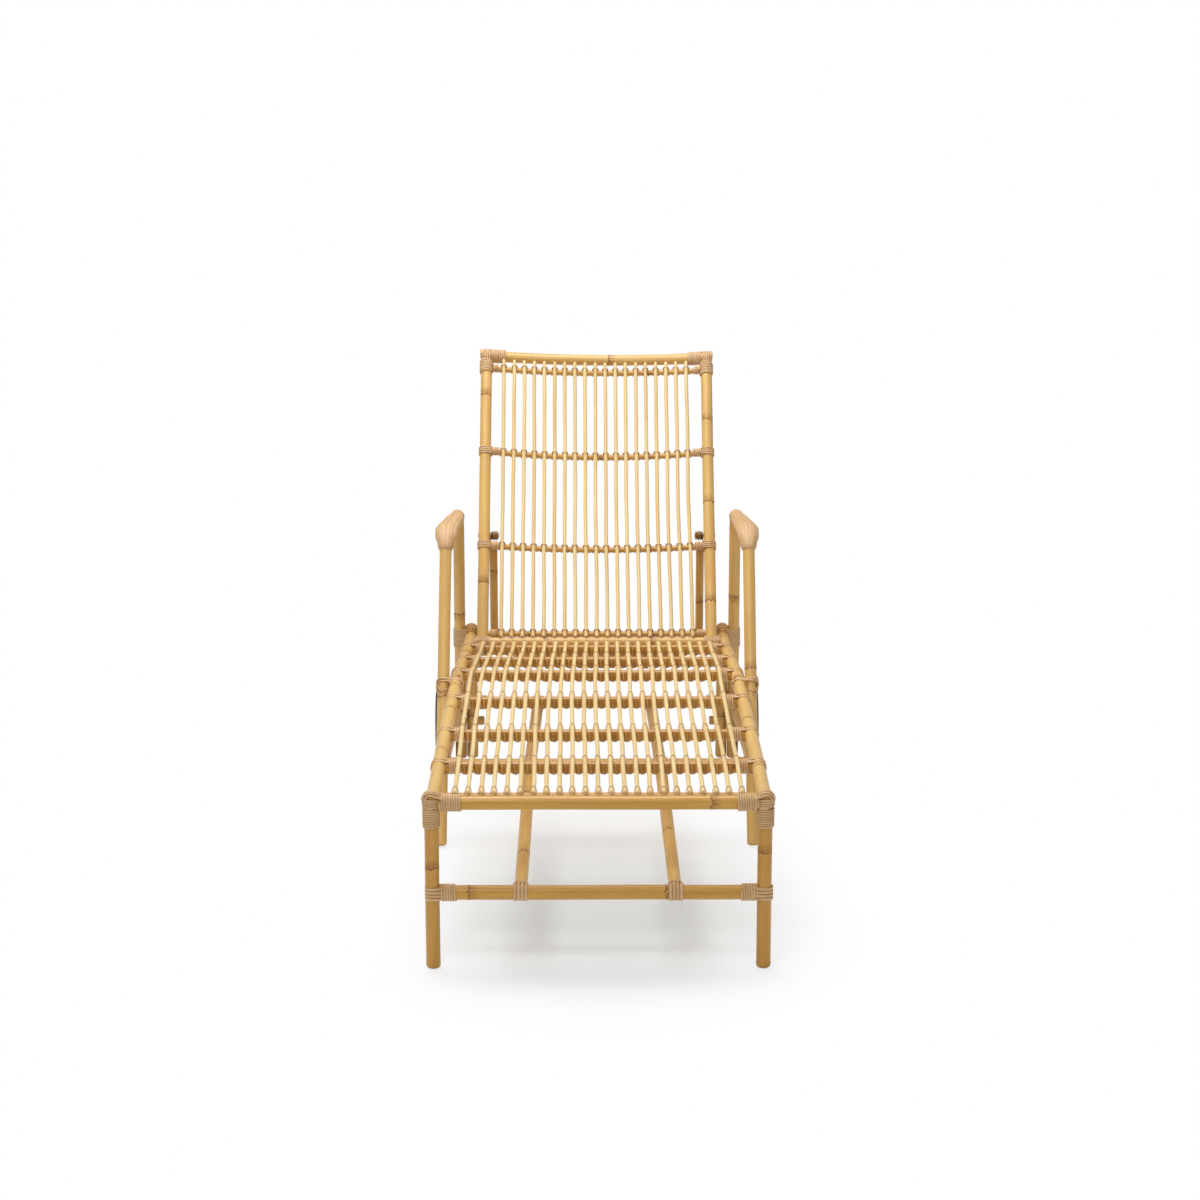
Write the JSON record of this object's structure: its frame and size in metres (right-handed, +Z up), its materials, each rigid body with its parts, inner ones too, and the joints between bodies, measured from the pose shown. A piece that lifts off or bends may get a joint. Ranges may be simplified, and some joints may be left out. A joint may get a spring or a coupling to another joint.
{
  "type": "sunbed",
  "caption": "Rattan-pole sunbed for lying on, with slatted seat, reclining slatted back on a swinging prop, arm hoops and two rear wheels for moving it.",
  "frame": {"origin": "on the floor, under the middle of the whole sunbed as pictured", "axes": "+Y runs from the foot end to the head end, +X is to the right seen from the foot end, +Z is up"},
  "size_m": [0.8198, 1.8187, 0.9948],
  "materials": {
    "rattan_pole": "satin lacquered cane",
    "rattan_slat": "satin lacquered core cane",
    "rattan_peel": "matte peel strip",
    "knob_wood": "stained, semi-gloss",
    "tyre_rubber": "matte black",
    "hub_plastic": "matte black"
  },
  "bodies": {
    "frame": {"front_leg_left": "rattan_pole", "front_leg_right": "rattan_pole", "rear_leg_left": "rattan_pole", "rear_leg_right": "rattan_pole", "front_rail": "rattan_pole", "side_rail_left": "rattan_pole", "side_rail_right": "rattan_pole", "arm_hoop_left": "rattan_pole", "arm_hoop_right": "rattan_pole", "front_stretcher": "rattan_pole", "mid_stretcher": "rattan_pole", "rear_stretcher": "rattan_pole", "rear_rail": "rattan_pole", "side_stretcher_left": "rattan_pole", "side_stretcher_right": "rattan_pole", "front_brace_left": "rattan_pole", "front_brace_right": "rattan_pole", "rear_brace_left": "rattan_pole", "rear_brace_right": "rattan_pole", "seat_rail_2": "rattan_pole", "seat_rail_3": "rattan_pole", "seat_rail_4": "rattan_pole", "seat_rail_5": "rattan_pole", "seat_rail_6": "rattan_pole", "prop_cleat_left": "rattan_pole", "prop_cleat_right": "rattan_pole", "axle_left": "rattan_pole", "axle_right": "rattan_pole", "seat_slats": "rattan_slat", "corner_rail_lashing_left": "rattan_peel", "corner_rail_lashing_right": "rattan_peel", "corner_leg_lashing_left": "rattan_peel", "corner_leg_lashing_right": "rattan_peel", "stretcher_lashing_left": "rattan_peel", "stretcher_lashing_right": "rattan_peel", "arm_tie_left": "rattan_peel", "arm_tie_right": "rattan_peel", "post_pair_lashing_left": "rattan_peel", "post_pair_lashing_right": "rattan_peel", "axle_cap_left": "hub_plastic", "axle_cap_right": "hub_plastic"},
    "backrest": {"back_top_pole": "rattan_pole", "back_upright_left": "rattan_pole", "back_upright_right": "rattan_pole", "back_hinge_pole": "rattan_pole", "back_rail_2": "rattan_pole", "back_rail_3": "rattan_pole", "back_slats": "rattan_slat", "back_pole_lashing_left": "rattan_peel", "back_pole_lashing_right": "rattan_peel", "prop_bolt_left": "knob_wood", "prop_bolt_right": "knob_wood"},
    "prop": {"prop_frame": "rattan_pole"},
    "wheel_left": {"tyre_left": "tyre_rubber", "wheel_hub_left": "hub_plastic"},
    "wheel_right": {"tyre_right": "tyre_rubber", "wheel_hub_right": "hub_plastic"}
  },
  "joints": [
    {"name": "backrest_hinge", "type": "hinge", "parent": "frame", "child": "backrest", "pos_m": [0, 0.41017, 0.3345], "axis": [1, 0, 0], "range_deg": [-55, 0]},
    {"name": "prop_hinge", "type": "hinge", "parent": "backrest", "child": "prop", "pos_m": [0, 0.57249, 0.56632], "axis": [1, 0, 0], "range_deg": [0, 55]},
    {"name": "wheel_left_spin", "type": "hinge", "parent": "frame", "child": "wheel_left", "pos_m": [-0.3791, 0.51017, 0.108], "axis": [1, 0, 0], "continuous": true},
    {"name": "wheel_right_spin", "type": "hinge", "parent": "frame", "child": "wheel_right", "pos_m": [0.3791, 0.51017, 0.108], "axis": [1, 0, 0], "continuous": true}
  ],
  "couplings": [
    {"joint": "prop_hinge", "follows": "backrest_hinge", "ratio": -1}
  ]
}
